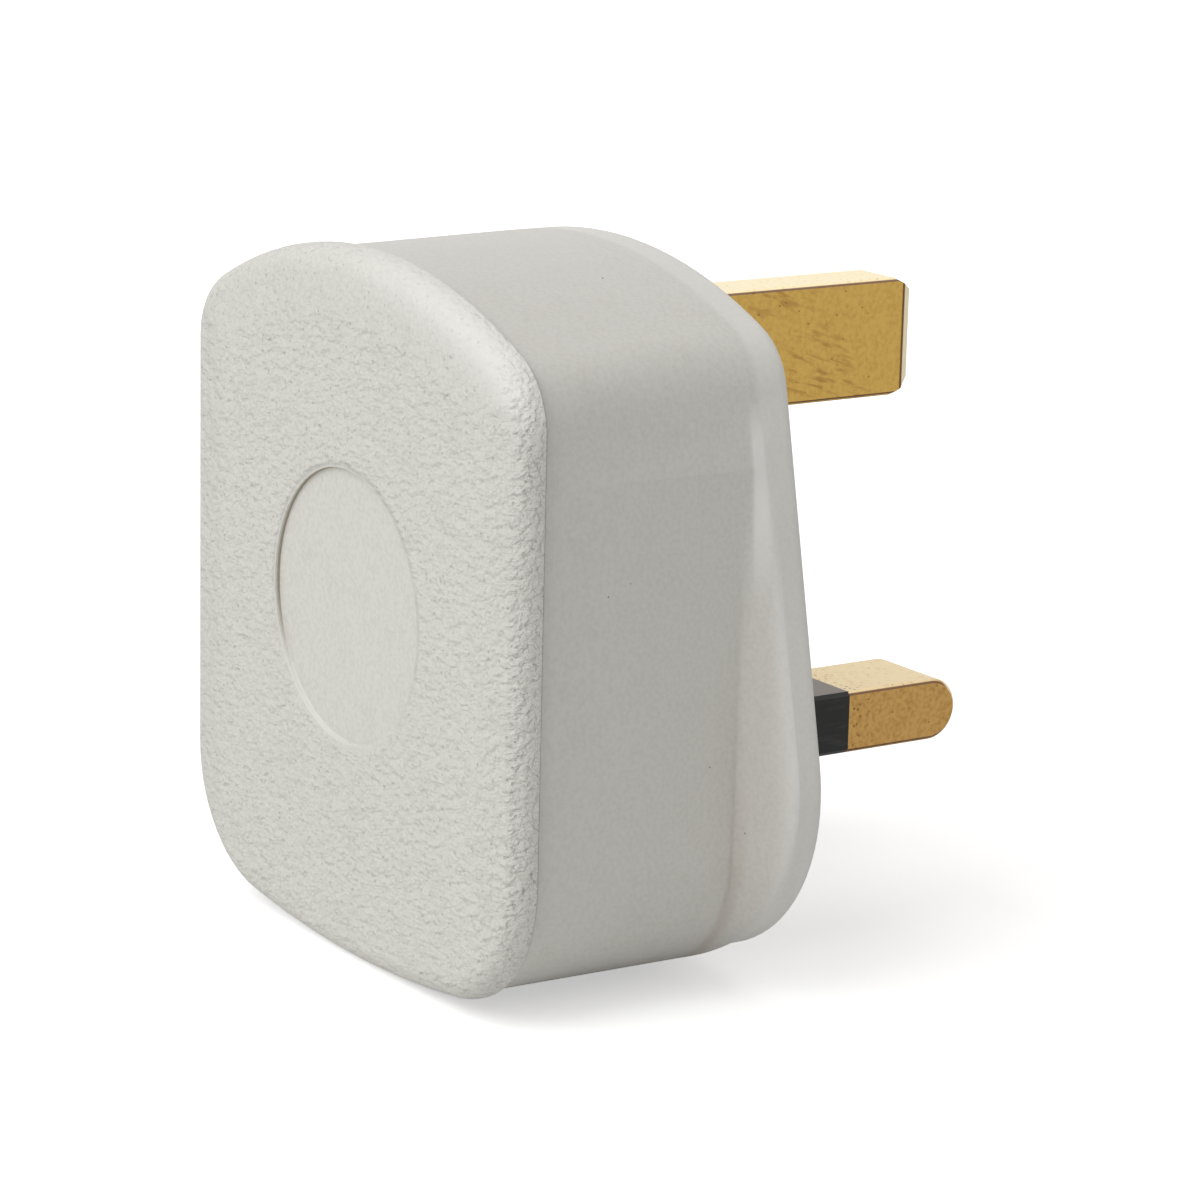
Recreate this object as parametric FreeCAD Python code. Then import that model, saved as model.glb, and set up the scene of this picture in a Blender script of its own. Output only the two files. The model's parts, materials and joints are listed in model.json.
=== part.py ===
import FreeCAD, Part

import math
import os

from FreeCAD import Vector

# Pins, to the standard for a 13 A plug, with X across and Z up from the middle of the power pins
POWER_PITCH = 22.22
POWER_SECTION = (6.35, 4.05)
POWER_LENGTH = 17.7
EARTH_HEIGHT = 22.23
EARTH_SECTION = (4.05, 7.95)
EARTH_LENGTH = 22.73
EARTH_CORNER = (1.9, 1.0)
EARTH_BEVEL = (0.9, 1.1)
BLADE_EDGE = 0.25
SLEEVE_LENGTH = 9.0
SLEEVE_WALL = 0.5

# Body outline, seen from the front
BODY_DEPTH = 20.2
TOP_ARCH_RADIUS = 39.8
BOTTOM_ARCH_RADIUS = 91.5
TOP_CORNER_RADIUS = 4.75
BOTTOM_CORNER_RADIUS = 8.9
WALL_DRAFT = 0.21
WALL = 2.4

# Room that the walls leave beside, above and below what they enclose
SIDE_ROOM = 0.705
TOP_ROOM = 0.425
BOTTOM_ROOM = 5.13

# Textured cap, which stands proud of the walls behind it
CAP_LIP = 0.37
CAP_DEPTH = 1.9
CAP_EDGE_RADIUS = 1.6
CAP_BACK_RADIUS = 0.15
DISC_RADIUS = 8.8
DISC_HEIGHT = 7.95
DISC_DEPTH = 0.3

# Flared sides and the rim around the engagement face
FLARE_WIDTH = 3.8
FLARE_START_HEIGHT = 18.9
FLARE_FULL_HEIGHT = 0.8
FLARE_CORNER_RADIUS = 11.7
FLARE_BOTTOM_RADIUS = 55.0
FLARE_DEPTH = 4.1
FLARE_SECTIONS = 8
FLARE_HOLLOW = 1.2
RIM_THICKNESS = 2.0
RIM_EDGE_RADIUS = 0.8

# Clearances
PLATE_GAP = 0.15
SLOT_GAP = 0.1
THREAD_GAP = 0.05
HOLE_GAP = 0.2

# Base, measured forward from the engagement face
PLATE_THICKNESS = 2.0
PLATE_EDGE = 0.3
PIN_BLOCK_DEPTH = 5.0
PIN_BLOCK_WALL = 1.2
TERMINAL_DEPTH = 12.4
JOINT_DEPTH = 9.0

# Terminals and their screws
TERMINAL_HALF_WIDTH = 3.4
EARTH_BLOCK_REACH = (4.2, 3.6)
NEUTRAL_BLOCK_TOP = 4.6
LIVE_BLOCK_HEIGHT = 4.0
LIVE_BLOCK_GAP = 0.6
CABLE_HOLE_RADIUS = 1.6
CABLE_HOLE_COVER = 3.6
TERMINAL_EDGE = 0.4
SCREW_RADIUS = 1.6
SCREW_HEAD = (2.1, 1.6)
SCREW_SLOT = (0.5, 0.7)

# Fuse and its clips
FUSE_RADIUS = 3.175
FUSE_LENGTH = 25.4
FUSE_BOTTOM = -6.4
FUSE_OFFSET = 1.0
FUSE_CAP_LENGTH = 5.6
FUSE_CAP_WALL = 0.3
FUSE_TUBE_WALL = 0.9
FUSE_WIRE_RADIUS = 0.2
LIVE_HEAD_DEPTH = 6.2
LIVE_HEAD_TOP = 3.0
CLIP_SHEET = 0.5
CLIP_LENGTH = 4.6
CLIP_MOUTH = 4.4
CLIP_INDENT = 0.5
CLIP_FOOT_HALF_WIDTH = 2.4
STAKE_RADIUS = 1.1
BAY_WALL = 0.9
BAY_HALF_WIDTH = 3.0
RIB_HEIGHTS = (2.0, 9.0)
RIB_THICKNESS = 1.2

# Cover screw, nut and washer
COVER_SCREW_HEIGHT = 9.0
COVER_SCREW_RADIUS = 1.9
COVER_SCREW_HEAD = (3.6, 2.0)
COVER_SCREW_SINK = 0.5
COVER_SCREW_SLOT = (1.0, 1.0)
COVER_SCREW_REACH = 15.0
WASHER_THICKNESS = 0.4
NUT_FLATS = 7.0
NUT_THICKNESS = 3.2
BOSS_RADIUS = 5.2

# Flex entry and cord grip
FLEX_RADIUS = 4.3
FLEX_DEPTH = 10.5
FLEX_ROOM = 3.68
SADDLE_RADIUS = 3.8
GRIP_HALF_WIDTH = 8.4
GRIP_SPAN = 5.0
GRIP_BAR_THICKNESS = 2.2
GRIP_BAR_SETBACK = 0.6
GRIP_BAR_CORNER = 1.2
GRIP_RIDGE = (3.0, 1.0, 0.8)
GRIP_SCREW_X = 6.3
GRIP_SCREW_DEPTH = 6.0

# How far a cut runs past the face that it opens, and how near counts as the same place
CUT_PAST = 1.0
SAME_PLACE = 1e-4

# Places that follow from the sizes above
POWER_X = POWER_PITCH / 2
POWER_NECK = (POWER_SECTION[0] - 2 * SLEEVE_WALL, POWER_SECTION[1] - 2 * SLEEVE_WALL)
CLIP_DEPTH = LIVE_HEAD_DEPTH + CLIP_SHEET
FUSE_X = POWER_X + FUSE_OFFSET
FUSE_DEPTH = CLIP_DEPTH + FUSE_RADIUS
FUSE_TOP = FUSE_BOTTOM + FUSE_LENGTH
BAY_SIDE = FUSE_RADIUS + CLIP_SHEET + SLOT_GAP
BAY_END = FUSE_BOTTOM - SLOT_GAP - BAY_WALL
EARTH_BLOCK = (EARTH_HEIGHT - EARTH_BLOCK_REACH[0], EARTH_HEIGHT + EARTH_BLOCK_REACH[1])
EARTH_END = EARTH_HEIGHT + EARTH_SECTION[1] / 2 + PIN_BLOCK_WALL
LIVE_BLOCK = (FUSE_TOP + LIVE_BLOCK_GAP, FUSE_TOP + LIVE_BLOCK_GAP + LIVE_BLOCK_HEIGHT)
LIVE_DROP = TOP_ARCH_RADIUS - math.sqrt(TOP_ARCH_RADIUS ** 2 - (FUSE_X + TERMINAL_HALF_WIDTH) ** 2)
BODY_HALF_WIDTH = FUSE_X + BAY_SIDE + BAY_WALL + SIDE_ROOM + PLATE_GAP + WALL
SIDE_DROP = TOP_ARCH_RADIUS - math.sqrt(TOP_ARCH_RADIUS ** 2 - BODY_HALF_WIDTH ** 2)
INSIDE_TOP = max(EARTH_END, LIVE_BLOCK[1] + LIVE_DROP)
SHOULDER_TOP = FLARE_START_HEIGHT + TOP_CORNER_RADIUS + SIDE_DROP
BODY_TOP = max(INSIDE_TOP + TOP_ROOM + PLATE_GAP + WALL, SHOULDER_TOP)
BODY_BOTTOM = BAY_END - BOTTOM_ROOM - PLATE_GAP - WALL
CAVITY_FRONT = BODY_DEPTH - WALL
FLOOR = BODY_BOTTOM + WALL
GRIP_LOW = FLOOR + FLEX_ROOM
GRIP_HIGH = GRIP_LOW + GRIP_SPAN
GRIP_HEIGHT = (GRIP_LOW + GRIP_HIGH) / 2
GRIP_TOP = FLEX_DEPTH + GRIP_BAR_THICKNESS
GRIP_SCREW_END = FLEX_DEPTH - GRIP_SCREW_DEPTH - HOLE_GAP
NEUTRAL_BLOCK = (GRIP_HIGH + HOLE_GAP, NEUTRAL_BLOCK_TOP)
LIVE_HEAD = (GRIP_HIGH + HOLE_GAP, LIVE_HEAD_TOP)
COVER_SCREW_SEAT = COVER_SCREW_SINK + COVER_SCREW_HEAD[1]
WASHER_SEAT = COVER_SCREW_SEAT + WASHER_THICKNESS
NUT_BACK = JOINT_DEPTH + THREAD_GAP
NUT_FRONT = NUT_BACK + NUT_THICKNESS
UP = Vector(0, 0, 1)
BACK = Vector(0, 1, 0)
ACROSS = Vector(1, 0, 0)


def corner_arc(arch_height, arch_radius, side, radius, is_top):
    """Centre and end points of the corner between the right side line and an arch centred on x = 0."""
    (x_high, z_high), (x_low, z_low) = side
    length = math.hypot(x_high - x_low, z_high - z_low)
    way = ((x_high - x_low) / length, (z_high - z_low) / length)
    outward = (way[1], -way[0])
    start = (x_low - radius * outward[0], z_low - radius * outward[1] - arch_height)
    along = way[0] * start[0] + way[1] * start[1]
    reach = math.sqrt(along ** 2 - start[0] ** 2 - start[1] ** 2 + (arch_radius - radius) ** 2)
    travel = reach - along if is_top else -reach - along
    centre = (start[0] + travel * way[0], start[1] + travel * way[1] + arch_height)
    on_line = (centre[0] + radius * outward[0], centre[1] + radius * outward[1])
    stretch = arch_radius / math.hypot(centre[0], centre[1] - arch_height)
    on_arch = (centre[0] * stretch, arch_height + (centre[1] - arch_height) * stretch)
    return centre, on_line, on_arch


def arc_edge(start, end, centre, radius, y):
    middle = ((start[0] + end[0]) / 2 - centre[0], (start[1] + end[1]) / 2 - centre[1])
    stretch = radius / math.hypot(*middle)
    top = (centre[0] + middle[0] * stretch, centre[1] + middle[1] * stretch)
    return Part.Arc(*(Vector(p[0], y, p[1]) for p in (start, top, end))).toShape()


def line_edge(start, end, y):
    return Part.makeLine(Vector(start[0], y, start[1]), Vector(end[0], y, end[1]))


def outline(y, inset=0.0, flare=0.0, lean=None):
    """Body outline in the plane at y, shrunk by inset and flared by a share of the whole flare.

    Above the start of the flare the sides lean in by a share of their own when the inset is zero.
    """
    sag = 1 / BOTTOM_ARCH_RADIUS + flare * (1 / FLARE_BOTTOM_RADIUS - 1 / BOTTOM_ARCH_RADIUS)
    top_radius = TOP_ARCH_RADIUS - inset
    bottom_radius = 1 / sag - inset
    top_centre = (0, BODY_TOP - TOP_ARCH_RADIUS)
    bottom_centre = (0, BODY_BOTTOM + 1 / sag)
    spread = flare * FLARE_WIDTH
    rise = FLARE_START_HEIGHT - FLARE_FULL_HEIGHT
    slant = math.hypot(spread, rise)
    shift = (inset * rise / slant, inset * spread / slant)
    bend = (BODY_HALF_WIDTH - shift[0], FLARE_START_HEIGHT - shift[1])
    peak = (bend[0] - (flare if lean is None else lean) * FLARE_WIDTH, bend[1] + rise)
    foot = (bend[0] + spread, bend[1] - rise)
    high_radius = TOP_CORNER_RADIUS - inset
    low_radius = BOTTOM_CORNER_RADIUS + flare * (FLARE_CORNER_RADIUS - BOTTOM_CORNER_RADIUS) - inset
    high, high_line, high_arch = corner_arc(top_centre[1], top_radius, (peak, bend), high_radius, True)
    low, low_line, low_arch = corner_arc(bottom_centre[1], bottom_radius, (bend, foot), low_radius, False)

    def mirror(p):
        return (-p[0], p[1])

    return Part.Wire([
        arc_edge(mirror(high_arch), high_arch, top_centre, top_radius, y),
        arc_edge(high_arch, high_line, high, high_radius, y),
        line_edge(high_line, bend, y),
        line_edge(bend, low_line, y),
        arc_edge(low_line, low_arch, low, low_radius, y),
        arc_edge(low_arch, mirror(low_arch), bottom_centre, bottom_radius, y),
        arc_edge(mirror(low_arch), mirror(low_line), mirror(low), low_radius, y),
        line_edge(mirror(low_line), mirror(bend), y),
        line_edge(mirror(bend), mirror(high_line), y),
        arc_edge(mirror(high_line), mirror(high_arch), mirror(high), high_radius, y),
    ])


def slab(front, back, inset=0.0, flare=0.0):
    return Part.Face(outline(front, inset, flare)).extrude(BACK * (back - front)).removeSplitter()


def box(x, y, z):
    """Block between the low and high value of each axis."""
    return Part.makeBox(x[1] - x[0], y[1] - y[0], z[1] - z[0], Vector(x[0], y[0], z[0]))


def rod(radius, front, back, x, z):
    """Cylinder along Y between two depths, each measured forward from the engagement face."""
    return Part.makeCylinder(radius, front - back, Vector(x, -front, z), BACK)


def upright(radius, x, y, low, high):
    return Part.makeCylinder(radius, high - low, Vector(x, y, low), UP)


def prism(points, travel):
    return Part.Face(Part.makePolygon([Vector(*p) for p in points + points[:1]])).extrude(travel)


def flat_edges(shape, y=None, z=None):
    """Edges that lie wholly in the plane at y or at z."""
    found = []
    for edge in shape.Edges:
        room = edge.BoundBox
        ends = (room.YMin - y, room.YMax - y) if z is None else (room.ZMin - z, room.ZMax - z)
        if max(abs(end) for end in ends) < SAME_PLACE:
            found.append(edge)
    return found


def flare():
    """Sides that sweep out from the walls to the rim in one hollow curve, then round over onto it."""
    sections = []
    for i in range(FLARE_SECTIONS + 1):
        along = i / FLARE_SECTIONS
        share = (1 - math.cos(math.pi * along ** FLARE_HOLLOW)) / 2
        place = -FLARE_DEPTH + along * (FLARE_DEPTH - RIM_THICKNESS)
        sections.append(outline(place, flare=share, lean=1.0))
    return Part.makeLoft(sections, True, False)


def body_skin():
    """The closed outside shape of the plug, without its hollow."""
    front = -BODY_DEPTH
    step = front + CAP_DEPTH
    cap = slab(front, step, inset=WALL_DRAFT - CAP_LIP)
    cap = cap.makeFillet(CAP_EDGE_RADIUS, flat_edges(cap, y=front))
    cap = cap.makeFillet(CAP_BACK_RADIUS, flat_edges(cap, y=step))
    wall_ends = [outline(step - CAP_DEPTH / 2, inset=WALL_DRAFT), outline(-FLARE_DEPTH, lean=1.0)]
    wall = Part.makeLoft(wall_ends, True, True)
    rim = slab(-RIM_THICKNESS, 0, flare=1)
    rim = rim.makeFillet(RIM_EDGE_RADIUS, flat_edges(rim, y=0))
    return cap.fuse([wall, flare(), rim]).removeSplitter()


def centre_rod(radius, front, back):
    """Cylinder on the axis of the cover screw."""
    return rod(radius, front, back, 0, COVER_SCREW_HEIGHT)


def hexagon(flats, front, back):
    """Hexagonal bar on the axis of the cover screw."""
    reach = flats / math.sqrt(3)
    corners = []
    for k in range(6):
        turn = math.pi * k / 3
        corners.append((reach * math.cos(turn), -front, COVER_SCREW_HEIGHT + reach * math.sin(turn)))
    return prism(corners, BACK * (front - back))


def flex_bore():
    """The round way through the bottom wall, where the flex enters."""
    return upright(FLEX_RADIUS, 0, -FLEX_DEPTH, BODY_BOTTOM - CUT_PAST, GRIP_LOW)


def fuse_bay(depths, heights, half=BAY_HALF_WIDTH):
    return box((FUSE_X - half, FUSE_X + half), depths, heights)


def cover():
    """Outer cup, with a boss for the nut and two ribs that keep the fuse in its clips."""
    shell = body_skin()
    hollow = slab(-CAVITY_FRONT, -PLATE_THICKNESS, inset=WALL)
    recess = slab(-PLATE_THICKNESS, 0, inset=WALL, flare=1)
    disc = rod(DISC_RADIUS, BODY_DEPTH, BODY_DEPTH - DISC_DEPTH, 0, DISC_HEIGHT)
    shell = shell.cut(hollow).cut(recess).cut(disc)
    rib_end = FUSE_DEPTH + FUSE_RADIUS + HOLE_GAP
    added = [centre_rod(BOSS_RADIUS, CAVITY_FRONT, JOINT_DEPTH)]
    for z in RIB_HEIGHTS:
        added.append(fuse_bay((-CAVITY_FRONT, -rib_end), (z, z + RIB_THICKNESS)))
    notch = box((-FLEX_RADIUS, FLEX_RADIUS), (-FLEX_DEPTH, CUT_PAST), (BODY_BOTTOM - CUT_PAST, GRIP_LOW))
    pocket = hexagon(NUT_FLATS + 2 * SLOT_GAP, NUT_FRONT, JOINT_DEPTH)
    bore = centre_rod(COVER_SCREW_RADIUS + HOLE_GAP, COVER_SCREW_REACH + HOLE_GAP, JOINT_DEPTH)
    return shell.fuse(added).cut([notch, flex_bore(), pocket, bore]).removeSplitter()


def slot(section, x, z, front, back):
    """Rectangular way for a blade or sleeve, with clearance all round."""
    half_x, half_z = section[0] / 2 + SLOT_GAP, section[1] / 2 + SLOT_GAP
    return box((x - half_x, x + half_x), (-front, -back), (z - half_z, z + half_z))


def pin_block(section, x, z):
    half_x, half_z = section[0] / 2 + PIN_BLOCK_WALL, section[1] / 2 + PIN_BLOCK_WALL
    return box((x - half_x, x + half_x), (-PIN_BLOCK_DEPTH, -PLATE_THICKNESS), (z - half_z, z + half_z))


def fuse_bay_walls():
    """Walls beside and below the fuse, and the plinth that the live terminal stands on."""
    deep = (-FUSE_DEPTH, -PLATE_THICKNESS)
    shallow = (-LIVE_HEAD_DEPTH, -PLATE_THICKNESS)
    between_clips = (FUSE_BOTTOM + 2 * FUSE_CAP_LENGTH, FUSE_TOP - FUSE_CAP_LENGTH)
    return [
        box((FUSE_X + BAY_SIDE, FUSE_X + BAY_SIDE + BAY_WALL), deep, (FUSE_BOTTOM, FUSE_TOP)),
        box((FUSE_X - BAY_SIDE - BAY_WALL, FUSE_X - BAY_SIDE), deep, between_clips),
        fuse_bay(deep, (BAY_END, BAY_END + BAY_WALL)),
        fuse_bay(shallow, (FUSE_TOP - FUSE_CAP_LENGTH, LIVE_BLOCK[1])),
    ]


def flex_tab():
    """Tongue of the base that fills the cover's notch, with a foot that joins it to the plate."""
    half = FLEX_RADIUS - PLATE_GAP
    under = BODY_BOTTOM - CUT_PAST
    tongue = box((-half, half), (-FLEX_DEPTH, 0), (under, FLOOR))
    foot = box((-half, half), (-PLATE_THICKNESS, 0), (under, GRIP_LOW))
    return tongue.fuse(foot).common(body_skin())


def base():
    """Inner moulding that carries the pins, the fuse bay, the cord grip and half of the flex entry."""
    plate = slab(-PLATE_THICKNESS, 0, inset=WALL + PLATE_GAP, flare=1)
    plate = plate.makeFillet(PLATE_EDGE, flat_edges(plate, y=0))
    grip_depths = (-FLEX_DEPTH, -PLATE_THICKNESS)
    added = fuse_bay_walls() + [
        pin_block(EARTH_SECTION, 0, EARTH_HEIGHT),
        centre_rod(BOSS_RADIUS, JOINT_DEPTH, PLATE_THICKNESS),
        box((-GRIP_HALF_WIDTH, GRIP_HALF_WIDTH), grip_depths, (GRIP_LOW, GRIP_HIGH)),
        flex_tab(),
    ]
    cuts = [
        slot(EARTH_SECTION, 0, EARTH_HEIGHT, PIN_BLOCK_DEPTH, 0),
        centre_rod(COVER_SCREW_RADIUS + HOLE_GAP, JOINT_DEPTH, 0),
        centre_rod(COVER_SCREW_HEAD[0] + HOLE_GAP, WASHER_SEAT, 0),
        flex_bore(),
        upright(SADDLE_RADIUS, 0, -FLEX_DEPTH, GRIP_LOW, GRIP_HIGH),
    ]
    for side in (-1, 1):
        added.append(pin_block(POWER_SECTION, side * POWER_X, 0))
        cuts.append(slot(POWER_SECTION, side * POWER_X, 0, PLATE_THICKNESS, 0))
        cuts.append(slot(POWER_NECK, side * POWER_X, 0, PIN_BLOCK_DEPTH, 0))
        cuts.append(rod(SCREW_RADIUS, FLEX_DEPTH, GRIP_SCREW_END, side * GRIP_SCREW_X, GRIP_HEIGHT))
    return plate.fuse(added).cut(cuts).removeSplitter()


def earth_blade():
    """Chamfered at its corners and bevelled on its broad sides towards the tip."""
    width, height = EARTH_SECTION
    side, edge = width / 2, height / 2
    root, tip = -PIN_BLOCK_DEPTH, EARTH_LENGTH
    bevel, run = EARTH_BEVEL
    long, tall = EARTH_CORNER
    side_view = [(-side, root, -edge), (-side, tip - long, -edge), (-side, tip, tall - edge),
                 (-side, tip, edge - tall), (-side, tip - long, edge), (-side, root, edge)]
    top_view = [(-side, root, -height), (-side, tip - run, -height), (bevel - side, tip, -height),
                (side - bevel, tip, -height), (side, tip - run, -height), (side, root, -height)]
    blade = prism(side_view, ACROSS * width)
    blade = blade.makeChamfer(BLADE_EDGE, [e for e in blade.Edges if e.BoundBox.YLength > tip])
    return blade.common(prism(top_view, UP * height * 2)).translated(Vector(0, 0, EARTH_HEIGHT))


def power_blade(x):
    """Round-nosed blade, necked down where the sleeve goes so that the sleeve lies flush."""
    half, radius = POWER_SECTION[0] / 2, POWER_SECTION[1] / 2
    nose_y = POWER_LENGTH - radius
    blade = box((x - half, x + half), (SLEEVE_LENGTH, nose_y), (-radius, radius))
    nose = Part.makeCylinder(radius, 2 * half, Vector(x - half, nose_y, 0), ACROSS)
    blade = blade.fuse(nose).removeSplitter()
    shoulder = SLEEVE_LENGTH + SAME_PLACE
    rim = [e for e in blade.Edges if e.BoundBox.XLength < SAME_PLACE and e.BoundBox.YMax > shoulder]
    blade = blade.makeChamfer(BLADE_EDGE, rim)
    neck_x, neck_z = POWER_NECK[0] / 2, POWER_NECK[1] / 2
    neck = box((x - neck_x, x + neck_x), (-PIN_BLOCK_DEPTH, SLEEVE_LENGTH), (-neck_z, neck_z))
    return blade.fuse(neck)


def sleeve(x):
    """Insulating skin round the root of a power pin."""
    half_x, half_z = POWER_SECTION[0] / 2, POWER_SECTION[1] / 2
    neck_x, neck_z = POWER_NECK[0] / 2, POWER_NECK[1] / 2
    length = (-PLATE_THICKNESS, SLEEVE_LENGTH)
    skin = box((x - half_x, x + half_x), length, (-half_z, half_z))
    skin = skin.makeChamfer(BLADE_EDGE, [e for e in skin.Edges if e.BoundBox.YLength > SLEEVE_LENGTH])
    return skin.cut(box((x - neck_x, x + neck_x), length, (-neck_z, neck_z)))


def terminal(x, back, low, high, across=False):
    """Brass block with a cable hole and a tapped hole for its clamping screw."""
    half = TERMINAL_HALF_WIDTH
    block = box((x - half, x + half), (-TERMINAL_DEPTH, -back), (low, high))
    block = block.makeChamfer(TERMINAL_EDGE, flat_edges(block, y=-TERMINAL_DEPTH))
    middle = (low + high) / 2
    depth = TERMINAL_DEPTH - CABLE_HOLE_COVER
    if across:
        start = Vector(x - half, -depth, middle)
        cable_hole = Part.makeCylinder(CABLE_HOLE_RADIUS, 2 * half, start, ACROSS)
    else:
        cable_hole = upright(CABLE_HOLE_RADIUS, x, -depth, low, high)
    tapped = rod(SCREW_RADIUS + THREAD_GAP, TERMINAL_DEPTH, depth, x, middle)
    return block.cut([cable_hole, tapped])


def slotted_screw(x, z, seat, radius, length, head, cut, outward=1):
    """Screw whose head sits at depth seat and points outward: 1 to the cover, -1 to the pins."""
    head_end = seat + outward * head[1]
    shank_end = seat - outward * length
    slot_end = head_end - outward * cut[1]
    screw = rod(head[0], max(seat, head_end), min(seat, head_end), x, z)
    screw = screw.makeFillet(head[1] / 4, flat_edges(screw, y=-head_end))
    screw = screw.fuse(rod(radius, max(seat, shank_end), min(seat, shank_end), x, z))
    depths = (-max(head_end, slot_end), -min(head_end, slot_end))
    return screw.cut(box((x - head[0], x + head[0]), depths, (z - cut[0] / 2, z + cut[0] / 2)))


def earth_pin():
    return earth_blade().fuse(terminal(0, PIN_BLOCK_DEPTH, *EARTH_BLOCK))


def neutral_pin():
    return power_blade(-POWER_X).fuse(terminal(-POWER_X, PIN_BLOCK_DEPTH, *NEUTRAL_BLOCK))


def stake():
    """End of the live pin that is spread through the foot of its fuse clip."""
    return rod(STAKE_RADIUS, CLIP_DEPTH, LIVE_HEAD_DEPTH, POWER_X, 0)


def live_pin():
    """Blade with a flat head that carries the fuse clip."""
    across = (POWER_X - TERMINAL_HALF_WIDTH, POWER_X + TERMINAL_HALF_WIDTH)
    head = box(across, (-LIVE_HEAD_DEPTH, -PIN_BLOCK_DEPTH), LIVE_HEAD)
    return power_blade(POWER_X).fuse([head, stake()])


def fuse_clip(low, foot):
    """Sheet brass curled round one cap of the fuse, open to the front, with a flat foot."""
    high = low + CLIP_LENGTH
    ring = upright(FUSE_RADIUS + CLIP_SHEET, FUSE_X, -FUSE_DEPTH, low, high)
    sheet = fuse_bay((-CLIP_DEPTH, -LIVE_HEAD_DEPTH), foot, CLIP_FOOT_HALF_WIDTH)
    mouth = fuse_bay((-FUSE_DEPTH - 2 * FUSE_RADIUS, -FUSE_DEPTH), (low, high), CLIP_MOUTH / 2)
    return ring.fuse(sheet).cut([upright(FUSE_RADIUS, FUSE_X, -FUSE_DEPTH, low, high), mouth])


def pin_fuse_clip():
    low = FUSE_BOTTOM + CLIP_INDENT
    return fuse_clip(low, (low, LIVE_HEAD[1])).cut(stake())


def terminal_fuse_clip():
    low = FUSE_TOP - CLIP_INDENT - CLIP_LENGTH
    return fuse_clip(low, (low, LIVE_BLOCK[1]))


def fuse_bar(radius, low, high):
    """Cylinder on the axis of the fuse."""
    return upright(radius, FUSE_X, -FUSE_DEPTH, low, high)


def fuse_pieces():
    """Ceramic tube with a cap pressed on each end, the wire down its middle and sand round the wire."""
    tube_radius = FUSE_RADIUS - FUSE_CAP_WALL
    bore = tube_radius - FUSE_TUBE_WALL
    low, high = FUSE_BOTTOM + FUSE_CAP_WALL, FUSE_TOP - FUSE_CAP_WALL
    tube = fuse_bar(tube_radius, low, high)
    wire = fuse_bar(FUSE_WIRE_RADIUS, low, high)
    found = {"fuse_tube": tube.cut(fuse_bar(bore, low, high)), "fuse_element": wire,
             "fuse_sand": fuse_bar(bore, low, high).cut(wire)}
    ends = {"fuse_cap_lower": (FUSE_BOTTOM, FUSE_BOTTOM + FUSE_CAP_LENGTH),
            "fuse_cap_upper": (FUSE_TOP, FUSE_TOP - FUSE_CAP_LENGTH)}
    for name, (outer, inner) in ends.items():
        cap = fuse_bar(FUSE_RADIUS, min(outer, inner), max(outer, inner))
        found[name] = cap.makeFillet(FUSE_CAP_WALL, flat_edges(cap, z=outer)).cut(tube)
    return found


def cord_grip():
    """Bar across the flex, with a ridge under it that bites."""
    heights = (GRIP_LOW + GRIP_BAR_SETBACK, GRIP_HIGH - GRIP_BAR_SETBACK)
    bar = box((-GRIP_HALF_WIDTH, GRIP_HALF_WIDTH), (-GRIP_TOP, -FLEX_DEPTH), heights)
    corners = [e for e in bar.Edges if e.BoundBox.YLength > SAME_PLACE]
    bar = bar.makeFillet(GRIP_BAR_CORNER, corners)
    long, wide, tall = GRIP_RIDGE
    profile = [(-long, -FLEX_DEPTH, GRIP_HEIGHT - wide), (-long, tall - FLEX_DEPTH, GRIP_HEIGHT),
               (-long, -FLEX_DEPTH, GRIP_HEIGHT + wide)]
    holes = [rod(SCREW_RADIUS + SLOT_GAP, GRIP_TOP, FLEX_DEPTH, side * GRIP_SCREW_X, GRIP_HEIGHT)
             for side in (-1, 1)]
    return bar.fuse(prism(profile, ACROSS * 2 * long)).cut(holes)


def cover_nut():
    thread = centre_rod(COVER_SCREW_RADIUS + THREAD_GAP, NUT_FRONT, NUT_BACK)
    return hexagon(NUT_FLATS, NUT_FRONT, NUT_BACK).cut(thread)


def cover_screw():
    length = COVER_SCREW_REACH - COVER_SCREW_SEAT
    return slotted_screw(0, COVER_SCREW_HEIGHT, COVER_SCREW_SEAT, COVER_SCREW_RADIUS, length,
                         COVER_SCREW_HEAD, COVER_SCREW_SLOT, outward=-1)


def cover_screw_washer():
    ring = centre_rod(COVER_SCREW_HEAD[0], WASHER_SEAT, COVER_SCREW_SEAT)
    return ring.cut(centre_rod(COVER_SCREW_RADIUS + THREAD_GAP, WASHER_SEAT, COVER_SCREW_SEAT))


def clamp_screw(x, block):
    """Terminal screw, run in until its tip is inside the cable hole."""
    length = CABLE_HOLE_COVER - HOLE_GAP
    return slotted_screw(x, sum(block) / 2, TERMINAL_DEPTH, SCREW_RADIUS, length, SCREW_HEAD, SCREW_SLOT)


def grip_screw(side):
    return slotted_screw(side * GRIP_SCREW_X, GRIP_HEIGHT, GRIP_TOP, SCREW_RADIUS - THREAD_GAP,
                         GRIP_BAR_THICKNESS + GRIP_SCREW_DEPTH, SCREW_HEAD, SCREW_SLOT)


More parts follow.
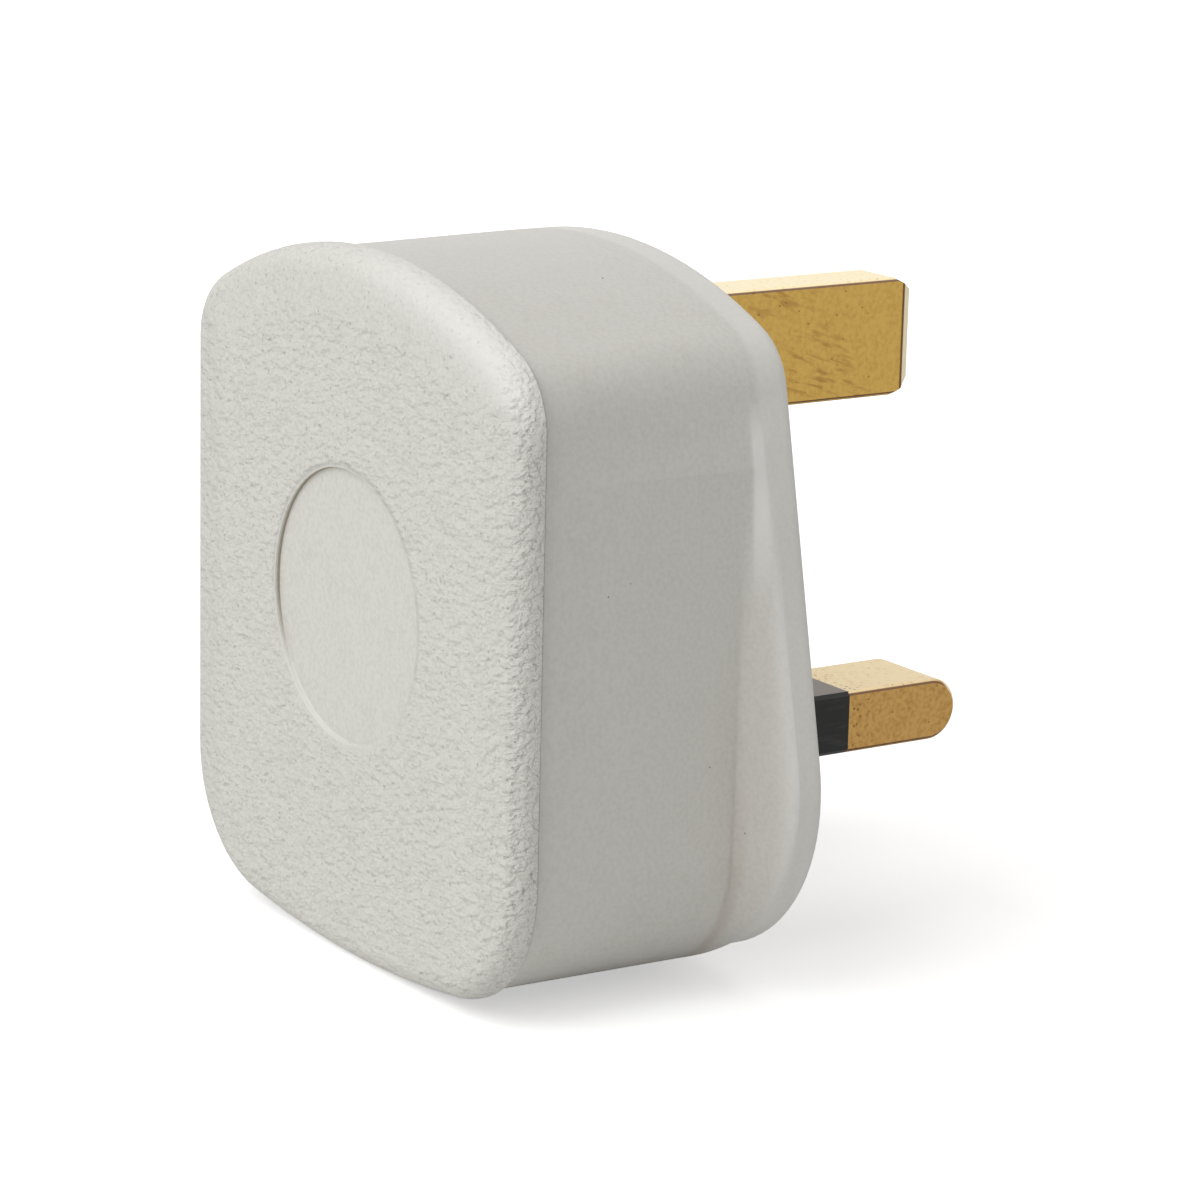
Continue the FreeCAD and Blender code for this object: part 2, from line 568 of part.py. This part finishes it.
pieces = {
    "cover": cover(),
    "base": base(),
    "earth_pin": earth_pin(),
    "live_pin": live_pin(),
    "neutral_pin": neutral_pin(),
    "live_sleeve": sleeve(POWER_X),
    "neutral_sleeve": sleeve(-POWER_X),
    "live_terminal": terminal(FUSE_X, CLIP_DEPTH, *LIVE_BLOCK, across=True),
    "pin_fuse_clip": pin_fuse_clip(),
    "terminal_fuse_clip": terminal_fuse_clip(),
    "earth_screw": clamp_screw(0, EARTH_BLOCK),
    "neutral_screw": clamp_screw(-POWER_X, NEUTRAL_BLOCK),
    "live_screw": clamp_screw(FUSE_X, LIVE_BLOCK),
    "cord_grip": cord_grip(),
    "grip_screw_left": grip_screw(-1),
    "grip_screw_right": grip_screw(1),
    "cover_screw": cover_screw(),
    "cover_nut": cover_nut(),
    "cover_screw_washer": cover_screw_washer(),
}
pieces.update(fuse_pieces())

os.makedirs("parts", exist_ok=True)
for name, shape in pieces.items():
    shape.exportStep("parts/" + name + ".step")
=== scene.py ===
import json
import math

import bpy
from mathutils import Matrix, Vector


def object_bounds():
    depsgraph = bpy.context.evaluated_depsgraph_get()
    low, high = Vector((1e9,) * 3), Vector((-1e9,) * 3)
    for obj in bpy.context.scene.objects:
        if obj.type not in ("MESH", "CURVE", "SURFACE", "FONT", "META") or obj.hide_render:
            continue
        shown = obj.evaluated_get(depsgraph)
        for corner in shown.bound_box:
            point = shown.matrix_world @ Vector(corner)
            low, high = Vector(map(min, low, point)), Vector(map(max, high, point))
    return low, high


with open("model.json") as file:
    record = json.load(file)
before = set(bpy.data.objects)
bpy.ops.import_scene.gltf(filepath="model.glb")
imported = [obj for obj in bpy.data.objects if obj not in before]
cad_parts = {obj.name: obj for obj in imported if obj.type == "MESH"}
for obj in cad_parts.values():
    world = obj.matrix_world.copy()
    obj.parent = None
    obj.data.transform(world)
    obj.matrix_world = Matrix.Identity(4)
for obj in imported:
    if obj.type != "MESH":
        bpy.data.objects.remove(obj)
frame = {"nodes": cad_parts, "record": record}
cad_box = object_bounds()

# The viewpoint, in degrees and metres: turned round the plug, tilted down on it, and rolled a little
VIEW_TURN = 56.19
VIEW_TILT = 13.62
VIEW_ROLL = 1.38
VIEW_AIM = Vector((0.0, -0.004, 0.008))
VIEW_DISTANCE = 0.26941
VIEW_SIDE = 0.00256
VIEW_UP = -0.00144
NEAREST_SEEN = 0.01

# The lens, in millimetres
LENS = 124.7
FILM_WIDTH = 36.0

# The studio, in metres and watts, with the room's light as a share of white
LAMP_AIM = Vector((0.0, 0.0, 0.01))
FRONT_LAMP = Vector((-0.02, -0.68, 0.68))
FRONT_LAMP_SIZE = 0.8
FRONT_LAMP_POWER = 5.2
TOP_LAMP = Vector((0.1, 0.1, 0.8))
TOP_LAMP_SIZE = 0.6
TOP_LAMP_POWER = 0.95
ROOM_LIGHT = 0.415
FLOOR_RADIUS = 4.0
FLOOR_CORNERS = 96

# The scene is in metres, and the finishes are written in millimetres
METRE_IN_MM = 1000.0
MM_IN_METRES = 0.001

# Places and lengths on the plug, in millimetres, in the same frame as the solids
CAP_BACK = -18.3
CAP_HALF_WIDTH = 20.2
ARCH_RADIUS = 39.96
ARCH_CENTRE = -9.42
DISC_RADIUS = 8.8
DISC_HEIGHT = 7.95
DISC_FLOOR = -19.9
DISC_MARGIN = 0.5
EARTH_TIP = 22.73
EARTH_BEVEL_RUN = 1.1
EARTH_PIN_LOW = 12.0
PIN_SIDES = (2.025, 7.935, 14.285)
SLEEVE_END = 9.0
CREASE = -3.9

# Spans over which a mark comes or goes: inwards from the cap's edge, across the cap, and along Y or Z
ROUNDED_EDGE = (0.2, 4.8)
# The highlight spans place the painted highlight on the cap's arch: paler colour that stands in for light,
# with smoother grain and lower roughness there
HIGHLIGHT_EDGE = (0.8, 3.4)
HIGHLIGHT_ACROSS = (-12.0, 16.0)
# The ring spans place the painted light and the painted shade on the disc's wall
RING_ACROSS = (-4.0, 5.0)
RING_DEPTHS = (DISC_FLOOR - 0.2, DISC_FLOOR - 0.12)
RING_HEIGHTS = (DISC_HEIGHT - 6.0, DISC_HEIGHT)
FLARE_TIP_SLOPE = (-3.6, -2.3)

# Bands in which a mark starts, is full, begins to end and is gone, along Y or Z
# The ridge and rim bands place painted highlights on the flare
RIDGE_DEPTHS = (-3.5, -3.15, -2.75, -2.0)
RIM_DEPTHS = (-2.9, -2.2, -0.6, 0.0)
TIP_HEIGHTS = (9.0, 17.0, 20.0, 23.2)
# The crease band places painted shade
CREASE_SHADE_HEIGHTS = (-15.0, -13.0, -9.0, 6.0)

# Heights and depths of relief, in millimetres
ROUND_OFF = 0.75
GRAIN_HEIGHT = 0.42
PIT_DEPTH = 0.05
SKIN_HEIGHT = 0.012
FLARE_TIP_RISE = 0.4
FLOW_HEIGHT = 0.004
SCRATCH_HEIGHT = 0.012
MOTTLE_HEIGHT = 0.008
METAL_MARK_HEIGHT = 0.006
SCUFF_HEIGHT = 0.008
PACKED_HEIGHT = 0.02

# How rough each finish is before its marks
PLASTIC_ROUGH = 0.42
BRASS_ROUGH = 0.34
METAL_ROUGH = 0.25
SLEEVE_ROUGH = 0.25

# How strongly the floor glows near the plug, how much more far from it, and over which distances that grows
FLOOR_GLOW = 0.48
FLOOR_GLOW_MORE = 0.2
FLOOR_CHANGE = (60.0, 260.0)

# How far the grain of the cap and the scratches of the pins lean, in radians
GRAIN_TURN = 0.2
SCRATCH_TURN = 0.35

# Colours, as they look under a plain white light
WHITE = (1.0, 1.0, 1.0)
CAP_CREAM = (0.70, 0.69, 0.64)
# Pale cream painted as highlight on the cap and the flare, and as light on the lower wall of the disc's
# recess
CAP_PAINTED_LIGHT = (0.82, 0.81, 0.77)
WALL_CREAM = (0.64, 0.622, 0.576)
CREAM_SHADE = (0.50, 0.48, 0.43)
BASE_CREAM = (0.62, 0.61, 0.57)
GRIP_GREY = (0.55, 0.54, 0.50)
DUST = (0.12, 0.11, 0.10)
# Brown painted as shade, in the crease where the flare starts and on the top of the disc's wall
SHADE_BROWN = (0.27, 0.175, 0.095)
BRASS = (0.70, 0.455, 0.12)
BRASS_WARM = (0.60, 0.365, 0.12)
# Paler brasses painted as a highlight on the pins' tops and tip bevels
BRASS_PALE = (0.80, 0.66, 0.41)
BRASS_BRIGHT = (0.92, 0.81, 0.56)
BRASS_DULL = (0.42, 0.215, 0.06)
BRASS_BROWN = (0.10, 0.024, 0.01)
CLIP_BRASS = (0.60, 0.42, 0.14)
SCREW_BRASS = (0.66, 0.49, 0.20)
PLATED = (0.62, 0.62, 0.60)
PLATED_DARK = (0.34, 0.34, 0.33)
TINNED = (0.66, 0.66, 0.64)
SLEEVE_BLACK = (0.009, 0.0085, 0.008)
SLEEVE_SCUFF = (0.03, 0.028, 0.026)
# Brown-grey painted as a sheen on the sleeves' tops
SLEEVE_PAINTED_SHEEN = (0.18, 0.138, 0.1)
SLEEVE_SHINE = 0.36
CERAMIC = (0.80, 0.77, 0.69)
CERAMIC_SHADE = (0.72, 0.68, 0.60)
SAND = (0.60, 0.54, 0.42)
SAND_DARK = (0.36, 0.30, 0.21)
FIBRE_RED = (0.20, 0.045, 0.022)
FIBRE_DARK = (0.11, 0.03, 0.015)
FLOOR_WHITE = (0.86, 0.86, 0.86)


class Wire:
    """A value, colour or place in a finish, so that a finish is written as a sum of its marks."""

    def __init__(self, nodes, socket):
        self.nodes = nodes
        self.socket = socket

    def combined(self, operation, first, second):
        """Two values meet in a Math node, and anything wider in a Vector Math node."""
        sides = (first, second)
        wide = any(s.socket.type != "VALUE" if isinstance(s, Wire) else isinstance(s, tuple) for s in sides)
        kind = "ShaderNodeVectorMath" if wide else "ShaderNodeMath"
        return self.nodes.add(kind, {"operation": operation}, {0: first, 1: second})

    def __add__(self, other):
        return self.combined("ADD", self, other)

    def __radd__(self, other):
        return self.combined("ADD", other, self)

    def __sub__(self, other):
        return self.combined("SUBTRACT", self, other)

    def __rsub__(self, other):
        return self.combined("SUBTRACT", other, self)

    def __mul__(self, other):
        return self.combined("MULTIPLY", self, other)

    def __rmul__(self, other):
        return self.combined("MULTIPLY", other, self)

    def __pow__(self, other):
        return self.combined("POWER", self, other)

    def __abs__(self):
        return self.nodes.add("ShaderNodeMath", {"operation": "ABSOLUTE"}, {0: self})

    def most(self, other):
        return self.combined("MAXIMUM", self, other)

    def least(self, other):
        return self.combined("MINIMUM", self, other)

    def rise(self, low, high):
        """0 below low and 1 above high, with a smooth change between."""
        span = {"Value": self, "From Min": low, "From Max": high}
        return self.nodes.add("ShaderNodeMapRange", {"interpolation_type": "SMOOTHSTEP"}, span)

    def fall(self, low, high):
        """1 below low and 0 above high, with a smooth change between."""
        return 1.0 - self.rise(low, high)

    def band(self, start, full, end, gone):
        """0 below start, 1 from full to end and 0 above gone, with smooth changes between."""
        return self.rise(start, full) * self.fall(end, gone)


class Nodes:
    """The nodes of one material or of the world, added one by one."""

    def __init__(self, owner):
        owner.use_nodes = True
        self.owner = owner
        self.tree = owner.node_tree
        self.tree.nodes.clear()

    def add(self, kind, settings=None, sockets=None, output=0):
        """Adds a node: its settings first, then the value or link of each socket. Gives one output."""
        node = self.tree.nodes.new(kind)
        for name, value in (settings or {}).items():
            setattr(node, name, value)
        for name, value in (sockets or {}).items():
            socket = self.found(node.inputs, name)
            if isinstance(value, Wire):
                self.tree.links.new(value.socket, socket)
            elif socket.type == "RGBA":
                socket.default_value = value + (1.0,)
            else:
                socket.default_value = value
        return Wire(self, self.found(node.outputs, output)) if node.outputs else None

    @staticmethod
    def found(sockets, name):
        """The socket of that number, or of that name among those in use."""
        if isinstance(name, int):
            return sockets[name]
        return next(s for s in sockets if s.name == name and s.enabled)

    def ray(self, kind):
        return self.add("ShaderNodeLightPath", output="Is %s Ray" % kind)


class Finish(Nodes):
    """One procedural material in the making, with its places in millimetres."""

    def __init__(self, name):
        super().__init__(bpy.data.materials.new(name))
        self.place = self.add("ShaderNodeTexCoord", output="Object") * ((METRE_IN_MM,) * 3)
        self.x, self.y, self.z = self.axes(self.place)

    def axes(self, wire):
        split = self.add("ShaderNodeSeparateXYZ", sockets={"Vector": wire})
        outputs = split.socket.node.outputs
        return [Wire(self, outputs[letter]) for letter in "XYZ"]

    def facing(self):
        """How far the surface faces along X, Y and Z."""
        return self.axes(self.add("ShaderNodeTexCoord", output="Normal"))

    def blend(self, first, second, share):
        """Colour that goes from the first to the second as share goes from 0 to 1."""
        sockets = {"Factor": share, "A": first, "B": second}
        return self.add("ShaderNodeMix", {"data_type": "RGBA"}, sockets, output="Result")

    def stretched(self, scale, turn=(0.0, 0.0, 0.0)):
        """The place, turned and then stretched, for marks that run one way."""
        return self.add("ShaderNodeMapping", {}, {"Vector": self.place, "Rotation": turn}) * scale

    def noise(self, per_mm, detail=2.0, place=None):
        """Soft random value round 0.5, with so many swells to a millimetre."""
        sockets = {"Vector": place or self.place, "Scale": per_mm, "Detail": detail}
        return self.add("ShaderNodeTexNoise", {}, sockets)

    def grains(self, per_mm):
        """Distance from the middle of the nearest of many scattered grains."""
        sockets = {"Vector": self.place, "Scale": per_mm, "Smoothness": 0.4}
        return self.add("ShaderNodeTexVoronoi", {"feature": "SMOOTH_F1"}, sockets)

    def specks(self, per_mm, size):
        """1 in small scattered specks, whose size is a share of the space between them."""
        spots = self.add("ShaderNodeTexVoronoi", {}, {"Vector": self.place, "Scale": per_mm})
        return spots.fall(size * 0.6, size)

    def relief(self, height):
        """Normals of a surface raised by so many millimetres."""
        return self.add("ShaderNodeBump", {}, {"Height": height, "Distance": MM_IN_METRES})

    def done(self, sockets):
        shader = self.add("ShaderNodeBsdfPrincipled", {}, sockets)
        self.add("ShaderNodeOutputMaterial", {}, {"Surface": shader})
        return self.owner


def cap_grain(f, pits, painted_highlight):
    """Height of the spark grain: leaning pebbles with scattered pits, made flatter along the band of the
    painted highlight.
    """
    pebbles = f.noise(1.2, detail=2.5, place=f.stretched((1.0, 1.8, 1.8), (0.0, GRAIN_TURN, 0.0)))
    height = pebbles * GRAIN_HEIGHT - pits * PIT_DEPTH
    return height * (0.8 + f.facing()[0].rise(0.1, 0.5) * 0.5 - painted_highlight * 0.5)


def disc_ring(f, from_disc, on_cap):
    """Shares of painted light on the lower part of the disc's wall, and of brown painted shade on its top.
    """
    wall = abs(from_disc - DISC_RADIUS).fall(0.02, 0.1) * on_cap * f.x.fall(*RING_ACROSS)
    top = f.z.rise(*RING_HEIGHTS)
    return wall * (1.0 - top), wall * f.y.rise(*RING_DEPTHS) * top


def cover_plastic():
    """Cream plastic, spark-grained on the front cap outside the disc, and smooth elsewhere; painted
    highlights and painted shade are laid on its colour.
    """
    f = Finish("cover_plastic")
    on_cap = f.y.fall(CAP_BACK - 0.1, CAP_BACK + 0.02)
    from_disc = (f.x * f.x + (f.z - DISC_HEIGHT) ** 2.0) ** 0.5
    grained = on_cap * from_disc.rise(DISC_RADIUS, DISC_RADIUS + DISC_MARGIN)
    to_arch = ARCH_RADIUS - (f.x * f.x + (f.z - ARCH_CENTRE) ** 2.0) ** 0.5
    # Painted highlight: the arch of the cap, mostly to the right, is blended paler; there the grain is also
    # flattened and the plastic is smoother
    painted_highlight = grained * to_arch.fall(*HIGHLIGHT_EDGE) * f.x.rise(*HIGHLIGHT_ACROSS)
    round_off = to_arch.least(CAP_HALF_WIDTH - abs(f.x)).fall(*ROUNDED_EDGE) * ROUND_OFF
    pits = f.specks(1.5, 0.16)
    skin = f.noise(3.5, detail=2.0)
    shade = f.noise(0.35, detail=3.0).rise(0.45, 0.9) * 0.2 + (skin - 0.4)
    colour = f.blend(f.blend(WALL_CREAM, CAP_CREAM, on_cap), CREAM_SHADE, shade)
    # The pits are also painted darker: painted shade in the pits of the grain
    colour = f.blend(colour, CREAM_SHADE, grained * (pits * 0.6))
    by_tip = f.z.band(*TIP_HEIGHTS)
    # Painted highlights: a pale streak on the flare's upper tip, and a paler band over the flare's outer
    # part and the rim
    ridge = f.y.band(*RIDGE_DEPTHS) * by_tip * 0.75
    rim = f.y.band(*RIM_DEPTHS) * 0.35
    colour = f.blend(colour, CAP_PAINTED_LIGHT, (painted_highlight * 0.6).most(ridge.most(rim)))
    # Painted light and painted shade on the disc's wall: paler below, brown on top
    ring_painted_light, ring_painted_shade = disc_ring(f, from_disc, on_cap)
    colour = f.blend(colour, CAP_PAINTED_LIGHT, ring_painted_light)
    # Painted shade: brown along the crease where the flare starts, and on the top of the disc's wall
    crease_shade = abs(f.y - CREASE).fall(0.1, 0.6) * f.z.band(*CREASE_SHADE_HEIGHTS)
    colour = f.blend(colour, SHADE_BROWN, (crease_shade * 0.2).most(ring_painted_shade * 0.6))
    colour = f.blend(colour, DUST, f.specks(0.16, 0.014))
    rough = PLASTIC_ROUGH + grained * 0.1 + f.noise(1.3) * 0.08 - painted_highlight * 0.12
    height = grained * (cap_grain(f, pits, painted_highlight) - round_off) + skin * SKIN_HEIGHT
    height = height + f.y.rise(*FLARE_TIP_SLOPE) * by_tip * FLARE_TIP_RISE
    return f.done({"Base Color": colour, "Roughness": rough, "Normal": f.relief(height)})


def smooth_plastic(name, cream, shade):
    """Smooth moulded plastic with faint flow marks."""
    f = Finish(name)
    colour = f.blend(cream, shade, f.noise(0.4, detail=3.0).rise(0.35, 0.8) * 0.25)
    rough = PLASTIC_ROUGH + f.noise(1.5) * 0.12
    relief = f.relief(f.noise(4.0) * FLOW_HEIGHT)
    return f.done({"Base Color": colour, "Roughness": rough, "Normal": relief})


def edge_lines(f, across, upward):
    """1 along the blades' long edges and the back edge of the bevel at the earth pin's tip."""
    by_side = abs(abs(f.x) - PIN_SIDES[0])
    for side in PIN_SIDES[1:]:
        by_side = by_side.least(abs(abs(f.x) - side))
    chamfer = abs(across * upward).rise(0.3, 0.45) * by_side.fall(0.1, 0.16)
    bevel_edge = abs(f.y - (EARTH_TIP - EARTH_BEVEL_RUN)).fall(0.08, 0.2)
    return chamfer.most(bevel_edge)


def pin_brass():
    """Worn brass with a painted highlight on top and on the tip's bevels, and brown lines along its edges.
    """
    f = Finish("pin_brass")
    across, along, upward = f.facing()
    on_blade = f.y.rise(0.0, 0.2)
    on_earth = f.z.rise(EARTH_PIN_LOW - 0.1, EARTH_PIN_LOW)
    mottle = f.noise(3.2, detail=4.0)
    scratches = f.noise(1.0, detail=2.0, place=f.stretched((0.6, 0.5, 3.0), (SCRATCH_TURN, 0.0, 0.0)))
    worn_patch = f.noise(0.13, detail=1.0).rise(0.42, 0.58) * on_earth
    colour = f.blend(BRASS_WARM, BRASS, on_earth)
    colour = f.blend(colour, BRASS_DULL, mottle.rise(0.35, 0.8) * (0.8 - on_earth * 0.4))
    colour = f.blend(colour, BRASS_DULL, scratches.rise(0.5, 0.68) * worn_patch * 0.8)
    # Painted highlight: paler brass on the faces that look up and on the tip's bevels
    painted_highlight = upward.rise(0.6, 0.75).most(abs(across * along).rise(0.2, 0.35)) * on_blade
    pale = f.blend(BRASS_PALE, BRASS_BRIGHT, on_earth)
    colour = f.blend(colour, pale, painted_highlight * (1.0 - mottle.rise(0.5, 0.8) * 0.35))
    by_sleeve = f.y.fall(SLEEVE_END, SLEEVE_END + 3.0) * (1.0 - on_earth)
    tarnish = f.specks(1.2, 0.1).most(f.specks(2.2, 0.28) * by_sleeve)
    colour = f.blend(colour, BRASS_BROWN, tarnish * 0.6)
    colour = f.blend(colour, BRASS_BROWN, edge_lines(f, across, upward) * on_blade * 0.85)
    rough = BRASS_ROUGH + mottle * 0.2
    relief = f.relief(scratches * SCRATCH_HEIGHT + mottle * MOTTLE_HEIGHT)
    return f.done({"Base Color": colour, "Metallic": 1.0, "Roughness": rough, "Normal": relief})


def sheet_metal(name, bright, dull, per_mm):
    """Drawn or turned metal with fine marks and slightly dulled patches."""
    f = Finish(name)
    marks = f.noise(per_mm, detail=2.0, place=f.stretched((1.0, 5.0, 1.0)))
    colour = f.blend(bright, dull, f.noise(0.8, detail=3.0).rise(0.4, 0.75) * 0.6)
    rough = METAL_ROUGH + marks * 0.2
    relief = f.relief(marks * METAL_MARK_HEIGHT)
    return f.done({"Base Color": colour, "Metallic": 1.0, "Roughness": rough, "Normal": relief})


def sleeve_plastic():
    """Black sleeve with fine scuffs along the pin, and a painted sheen on top."""
    f = Finish("sleeve_plastic")
    upward = f.facing()[2]
    scuffs = f.noise(1.2, detail=3.0, place=f.stretched((3.0, 0.5, 3.0)))
    colour = f.blend(SLEEVE_BLACK, SLEEVE_SCUFF, scuffs.rise(0.5, 0.75))
    # Painted sheen: the faces that look up are blended paler
    colour = f.blend(colour, SLEEVE_PAINTED_SHEEN, upward.rise(0.7, 0.9) * (0.4 + scuffs))
    return f.done({
        "Base Color": colour,
        "Roughness": SLEEVE_ROUGH + scuffs * 0.15,
        "Specular IOR Level": SLEEVE_SHINE,
        "Normal": f.relief(scuffs * SCUFF_HEIGHT),
    })


def grainy(name, light, dark, per_mm, rough):
    """Packed or pressed grains, such as sand, ceramic or fibre."""
    f = Finish(name)
    grain = f.grains(per_mm)
    colour = f.blend(light, dark, grain.rise(0.2, 0.8))
    relief = f.relief(grain * PACKED_HEIGHT)
    return f.done({"Base Color": colour, "Roughness": rough + grain * 0.1, "Normal": relief})


def floor_white():
    """White floor that fades into the background and keeps the shadow under the plug."""
    f = Finish("floor_white")
    from_plug = (f.x * f.x + f.y * f.y) ** 0.5
    paper = f.add("ShaderNodeBsdfDiffuse", {}, {"Color": FLOOR_WHITE})
    glow = f.add("ShaderNodeEmission", {}, {"Color": WHITE, "Strength": 1.0})
    share = f.ray("Camera") * (FLOOR_GLOW + from_plug.rise(*FLOOR_CHANGE) * FLOOR_GLOW_MORE)
    seen = f.add("ShaderNodeMixShader", {}, {0: share, 2: glow})
    both = f.add("ShaderNodeAddShader", {}, {0: paper, 1: seen})
    f.add("ShaderNodeOutputMaterial", {}, {"Surface": both})
    return f.owner


def dress_nodes():
    """Gives every solid its finish by the record's material slots."""
    finishes = {
        "cover_plastic": cover_plastic(),
        "base_plastic": smooth_plastic("base_plastic", BASE_CREAM, CREAM_SHADE),
        "pin_brass": pin_brass(),
        "clip_brass": sheet_metal("clip_brass", CLIP_BRASS, BRASS_DULL, per_mm=2.5),
        "screw_brass": sheet_metal("screw_brass", SCREW_BRASS, BRASS_DULL, per_mm=4.0),
        "sleeve_plastic": sleeve_plastic(),
        "fuse_ceramic": grainy("fuse_ceramic", CERAMIC, CERAMIC_SHADE, per_mm=3.0, rough=0.25),
        "fuse_filling": grainy("fuse_filling", SAND, SAND_DARK, per_mm=4.0, rough=0.8),
        "fuse_wire": sheet_metal("fuse_wire", TINNED, PLATED_DARK, per_mm=3.0),
        "plated_metal": sheet_metal("plated_metal", PLATED, PLATED_DARK, per_mm=2.0),
        "grip_plastic": smooth_plastic("grip_plastic", GRIP_GREY, CREAM_SHADE),
        "washer_fibre": grainy("washer_fibre", FIBRE_RED, FIBRE_DARK, per_mm=3.0, rough=0.7),
    }
    for part in frame["record"]["subparts"]:
        mesh = frame["nodes"][part["node"]].data
        mesh.materials.clear()
        mesh.materials.append(finishes[part["material_slot"]])


def floor():
    """A wide plain floor that the plug stands on."""
    place = (0.0, 0.0, cad_box[0][2])
    bpy.ops.mesh.primitive_circle_add(
        vertices=FLOOR_CORNERS, radius=FLOOR_RADIUS, fill_type="NGON", location=place)
    disc = bpy.context.object
    disc.name = "floor"
    disc.data.materials.append(floor_white())


def placed(name, data, place, turned):
    """Puts a lamp or a camera in the scene."""
    holder = bpy.data.objects.new(name, data)
    holder.matrix_world = Matrix.Translation(place) @ turned.to_4x4()
    bpy.context.scene.collection.objects.link(holder)
    return holder


def soft_box(name, place, size, power):
    """Square lamp that faces the plug."""
    light = bpy.data.lights.new(name, "AREA")
    light.shape = "SQUARE"
    light.size = size
    light.energy = power
    placed(name, light, place, (place - LAMP_AIM).to_track_quat("Z", "Y").to_matrix())


def studio():
    """White room that gives a plain light, and two soft boxes above the front and the top of the plug."""
    world = bpy.data.worlds.new("studio")
    bpy.context.scene.world = world
    room = Nodes(world)
    seen = room.ray("Camera").most(room.ray("Glossy")).most(room.ray("Transmission"))
    lit = room.add("ShaderNodeBackground", {}, {"Color": WHITE, "Strength": ROOM_LIGHT})
    white = room.add("ShaderNodeBackground", {}, {"Color": WHITE, "Strength": 1.0})
    both = room.add("ShaderNodeMixShader", {}, {0: seen, 1: lit, 2: white})
    room.add("ShaderNodeOutputWorld", {}, {"Surface": both})
    soft_box("front_lamp", FRONT_LAMP, FRONT_LAMP_SIZE, FRONT_LAMP_POWER)
    soft_box("top_lamp", TOP_LAMP, TOP_LAMP_SIZE, TOP_LAMP_POWER)


def viewpoint():
    """Camera at the fitted viewpoint."""
    turn, tilt, roll = (math.radians(a) for a in (VIEW_TURN, VIEW_TILT, VIEW_ROLL))
    back = Vector((math.sin(turn) * math.cos(tilt), -math.cos(turn) * math.cos(tilt), math.sin(tilt)))
    level = Vector((math.cos(turn), math.sin(turn), 0.0))
    upright = back.cross(level)
    across = level * math.cos(roll) + upright * math.sin(roll)
    up = upright * math.cos(roll) - level * math.sin(roll)
    camera = bpy.data.cameras.new("camera")
    camera.lens = LENS
    camera.sensor_width = FILM_WIDTH
    camera.clip_start = NEAREST_SEEN
    place = VIEW_AIM + back * VIEW_DISTANCE + across * VIEW_SIDE + up * VIEW_UP
    bpy.context.scene.camera = placed("camera", camera, place, Matrix((across, up, back)).transposed())


dress_nodes()
floor()
studio()
viewpoint()
bpy.context.scene.view_settings.view_transform = "Standard"
